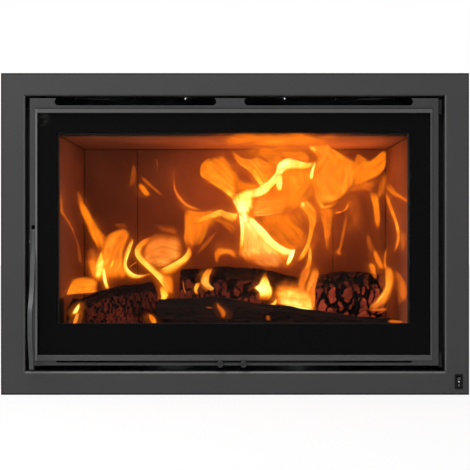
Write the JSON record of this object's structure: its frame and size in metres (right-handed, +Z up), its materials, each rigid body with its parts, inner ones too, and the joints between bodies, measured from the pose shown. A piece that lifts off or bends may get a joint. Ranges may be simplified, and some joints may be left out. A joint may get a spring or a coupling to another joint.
{
  "type": "fireplace insert",
  "caption": "Landscape wood-burning fireplace insert: folded trim frame, side-hinged glazed door with lever handle and air controls, lined firebox, top flue collar, rear fans, logs on embers.",
  "frame": {"origin": "middle of the bounding box's base: on the floor under the feet and the trim's lower edge", "axes": "+X to the right seen from the front, +Y to the back, +Z up; the glass faces -Y"},
  "size_m": [0.8, 0.515, 0.565],
  "materials": {
    "front_paint": "fine matt heat-proof paint, dark grey",
    "bezel_paint": "satin heat-proof paint, a little lighter than the door",
    "handle_paint": "satin heat-proof paint",
    "knob_metal": "satin dark grey",
    "galvanised_sheet": "galvanised with faint spangle",
    "bright_zinc": "bright zinc plate",
    "black_steel": "black heat-proof paint",
    "lining_board": "vermiculite board, sooted and lit by the fire",
    "door_glass": "clear ceramic glass with a printed black border",
    "rope_seal": "graphite-coated glass-fibre rope",
    "switch_plastic": "black",
    "fan_plastic": "black glass-filled plastic",
    "fan_metal": "cast frame and plated wire",
    "gland_plastic": "black nylon",
    "charred_wood": "charred and cracked bark",
    "glowing_embers": "ash and charcoal with glowing cracks"
  },
  "bodies": {
    "insert": {"trim_frame": "front_paint", "trim_brackets": "galvanised_sheet", "casing_screws": "bright_zinc", "casing_left": "galvanised_sheet", "casing_right": "galvanised_sheet", "casing_top": "galvanised_sheet", "casing_bottom": "galvanised_sheet", "casing_back": "galvanised_sheet", "hot_air_covers": "galvanised_sheet", "levelling_feet": "bright_zinc", "foot_nuts": "bright_zinc", "firebox_floor": "black_steel", "firebox_sides": "black_steel", "firebox_back": "black_steel", "firebox_roof": "black_steel", "firebox_front": "black_steel", "firebox_rails": "black_steel", "firebox_bolts": "bright_zinc", "hearth_slab": "lining_board", "lining_sides": "lining_board", "lining_back_left": "lining_board", "lining_back_centre": "lining_board", "lining_back_right": "lining_board", "baffle": "lining_board", "flue_collar": "black_steel", "hinge_brackets": "black_steel", "hinge_pins": "bright_zinc", "latch_keeper": "black_steel", "switch_housing": "switch_plastic", "fan_housings": "fan_metal", "fan_guards": "fan_metal", "terminal_box": "galvanised_sheet", "terminal_lid": "galvanised_sheet", "cable_gland": "gland_plastic", "ember_bed": "glowing_embers", "log_front": "charred_wood", "log_left": "charred_wood", "log_right": "charred_wood", "log_back": "charred_wood", "log_corner": "charred_wood"},
    "door": {"door_plate": "front_paint", "glass_bezel": "bezel_paint", "door_cell": "black_steel", "door_back_frame": "black_steel", "door_glass": "door_glass", "glass_gasket": "rope_seal", "glass_clips": "black_steel", "door_screws": "black_steel", "door_rope": "rope_seal", "hinge_knuckles": "black_steel", "handle_bracket": "black_steel", "handle_pin": "bright_zinc", "shutter_rails": "black_steel"},
    "handle": {"handle_lever": "handle_paint"},
    "primary_air": {"primary_air_knob": "knob_metal", "primary_air_shutter": "black_steel"},
    "secondary_air": {"secondary_air_knob": "knob_metal", "secondary_air_shutter": "black_steel"},
    "fan_left": {"fan_impeller_left": "fan_plastic"},
    "fan_right": {"fan_impeller_right": "fan_plastic"},
    "rocker": {"switch_rocker": "switch_plastic"}
  },
  "joints": [
    {"name": "door_hinge", "type": "hinge", "parent": "insert", "child": "door", "pos_m": [0.3514, -0.2165, 0.275], "axis": [0, 0, 1], "range_deg": [0, 95]},
    {"name": "handle_pull", "type": "hinge", "parent": "door", "child": "handle", "pos_m": [-0.3447, -0.2085, 0.262], "axis": [-1, 0, 0], "range_deg": [0, 35]},
    {"name": "primary_air_slide", "type": "slide", "parent": "door", "child": "primary_air", "axis": [-1, 0, 0], "range_m": [0, 0.03]},
    {"name": "secondary_air_slide", "type": "slide", "parent": "door", "child": "secondary_air", "axis": [1, 0, 0], "range_m": [0, 0.03]},
    {"name": "fan_left_spin", "type": "hinge", "parent": "insert", "child": "fan_left", "pos_m": [-0.125, 0.2345, 0.092], "axis": [0, 1, 0], "continuous": true},
    {"name": "fan_right_spin", "type": "hinge", "parent": "insert", "child": "fan_right", "pos_m": [0.125, 0.2345, 0.092], "axis": [0, 1, 0], "continuous": true},
    {"name": "fan_switch_rock", "type": "hinge", "parent": "insert", "child": "rocker", "pos_m": [0.382, -0.2195, 0.023], "axis": [1, 0, 0], "range_deg": [-16, 0]}
  ]
}
